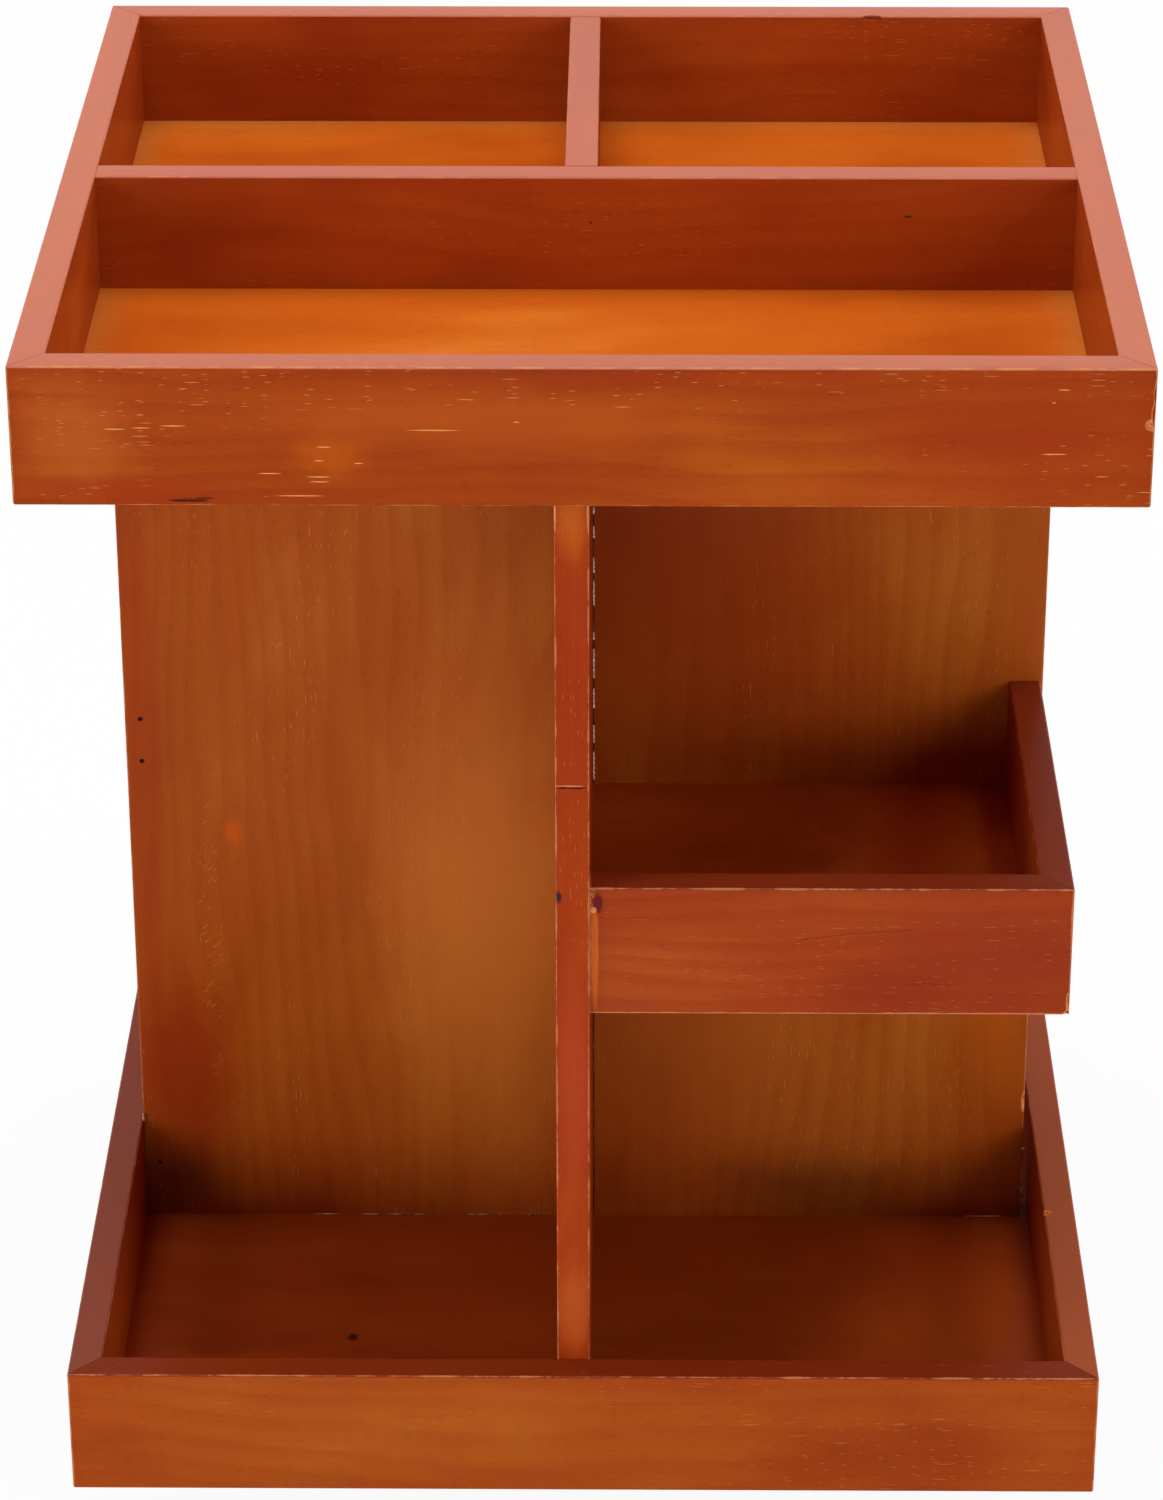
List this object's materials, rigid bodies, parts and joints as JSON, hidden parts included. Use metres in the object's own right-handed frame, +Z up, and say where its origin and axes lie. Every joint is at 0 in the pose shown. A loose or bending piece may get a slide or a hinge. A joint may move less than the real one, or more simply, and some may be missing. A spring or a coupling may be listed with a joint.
{
  "type": "rotating desk organizer with drawers",
  "caption": "Square wooden desk organizer that turns on a swivel base: divided top tray, open bays, a lipped shelf and rear drawers.",
  "frame": {"origin": "middle of the underside of the feet, on the swivel's axis", "axes": "+Z up along the swivel's axis; the front, with the open bay and the shelf, faces -Y; +X is to the right seen from the front"},
  "size_m": [0.254, 0.254, 0.3178],
  "materials": {
    "stained_wood": "cherry-brown stain under a satin lacquer, worn pale along the arrises",
    "stained_ply": "thin ply with an orange-brown stain, satin",
    "plain_wood": "unstained light wood, sanded",
    "plain_ply": "unstained thin ply, sanded",
    "knob_wood": "turned wood, cherry-brown stain, satin lacquer",
    "zinc_plate": "zinc-plated pressed steel",
    "zinc_screw": "zinc-plated steel",
    "ball_steel": "polished steel",
    "brad_steel": "dull steel, set below the wood",
    "foot_rubber": "matt black rubber"
  },
  "bodies": {
    "base": {"base_board": "stained_wood", "base_foot_1": "foot_rubber", "base_foot_2": "foot_rubber", "base_foot_3": "foot_rubber", "base_foot_4": "foot_rubber", "swivel_balls": "ball_steel", "swivel_lower_plate": "zinc_plate", "swivel_lower_screws": "zinc_screw"},
    "turntable": {"bottom_brads": "brad_steel", "bottom_floor": "stained_ply", "bottom_front_rim": "stained_wood", "bottom_left_rim": "stained_wood", "bottom_rear_rim": "stained_wood", "bottom_right_rim": "stained_wood", "cabinet_brads": "brad_steel", "cabinet_floor": "stained_wood", "cabinet_shelf_1": "stained_wood", "cabinet_shelf_2": "stained_wood", "cabinet_side": "stained_wood", "centre_divider": "stained_wood", "column_screws": "zinc_screw", "left_panel": "stained_wood", "right_panel": "stained_wood", "shelf_brads": "brad_steel", "shelf_floor": "stained_ply", "shelf_front_lip": "stained_wood", "shelf_side_lip": "stained_wood", "swivel_upper_plate": "zinc_plate", "swivel_upper_screws": "zinc_screw", "top_brads": "brad_steel", "top_cross_divider": "stained_wood", "top_floor": "stained_ply", "top_front_rim": "stained_wood", "top_left_rim": "stained_wood", "top_long_divider": "stained_wood", "top_rear_rim": "stained_wood", "top_right_rim": "stained_wood"},
    "lower_drawer": {"lower_drawer_back": "plain_wood", "lower_drawer_bottom": "plain_ply", "lower_drawer_front": "stained_wood", "lower_drawer_knob": "knob_wood", "lower_drawer_knob_screw": "zinc_screw", "lower_drawer_left_side": "plain_wood", "lower_drawer_right_side": "plain_wood"},
    "middle_drawer": {"middle_drawer_back": "plain_wood", "middle_drawer_bottom": "plain_ply", "middle_drawer_front": "stained_wood", "middle_drawer_knob": "knob_wood", "middle_drawer_knob_screw": "zinc_screw", "middle_drawer_left_side": "plain_wood", "middle_drawer_right_side": "plain_wood"},
    "upper_drawer": {"upper_drawer_back": "plain_wood", "upper_drawer_bottom": "plain_ply", "upper_drawer_front": "stained_wood", "upper_drawer_knob": "knob_wood", "upper_drawer_knob_screw": "zinc_screw", "upper_drawer_left_side": "plain_wood", "upper_drawer_right_side": "plain_wood"}
  },
  "joints": [
    {"name": "turntable_swivel", "type": "hinge", "parent": "base", "child": "turntable", "pos_m": [0, 0, 0.0105], "axis": [0, 0, 1], "continuous": true},
    {"name": "lower_drawer_slide", "type": "slide", "parent": "turntable", "child": "lower_drawer", "axis": [0, 1, 0], "range_m": [0, 0.085]},
    {"name": "middle_drawer_slide", "type": "slide", "parent": "turntable", "child": "middle_drawer", "axis": [0, 1, 0], "range_m": [0, 0.085]},
    {"name": "upper_drawer_slide", "type": "slide", "parent": "turntable", "child": "upper_drawer", "axis": [0, 1, 0], "range_m": [0, 0.085]}
  ]
}
